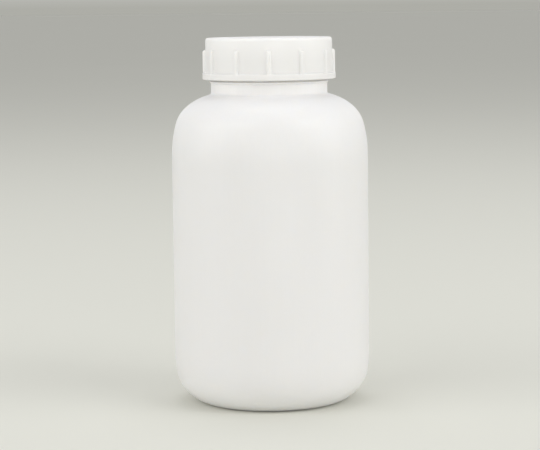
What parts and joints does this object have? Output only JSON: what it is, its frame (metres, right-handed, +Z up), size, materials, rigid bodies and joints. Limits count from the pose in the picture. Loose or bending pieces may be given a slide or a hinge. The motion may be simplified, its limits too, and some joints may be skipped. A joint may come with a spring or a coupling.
{
  "type": "wide-mouth reagent bottle",
  "caption": "Round wide-mouth plastic reagent bottle with a ribbed screw cap over a threaded neck and a plug-type sealing insert.",
  "frame": {"origin": "centre of the ring that the bottle stands on", "axes": "+Z up along the bottle's axis; +X and +Y across it, with the mould's parting plane along X and the start of the neck's thread at +X"},
  "size_m": [0.0976, 0.0976, 0.1811],
  "materials": {
    "bottle_hdpe": "natural high-density polyethylene, satin and milky, light passes a little way in",
    "cap_pp": "white polypropylene, smooth with a soft gloss",
    "insert_ldpe": "natural low-density polyethylene, soft and waxy"
  },
  "bodies": {
    "bottle": {"bottle": "bottle_hdpe"},
    "insert": {"seal_insert": "insert_ldpe"},
    "cap": {"screw_cap": "cap_pp"}
  },
  "joints": [
    {"name": "cap_turn", "type": "hinge", "parent": "insert", "child": "cap", "pos_m": [0, 0, 0.17], "axis": [0, 0, 1], "range_deg": [0, 1800]},
    {"name": "insert_lift", "type": "slide", "parent": "bottle", "child": "insert", "axis": [0, 0, 1], "range_m": [0, 0.03]}
  ],
  "couplings": [
    {"joint": "insert_lift", "follows": "cap_turn", "m_per_rad": 0.00095493}
  ]
}
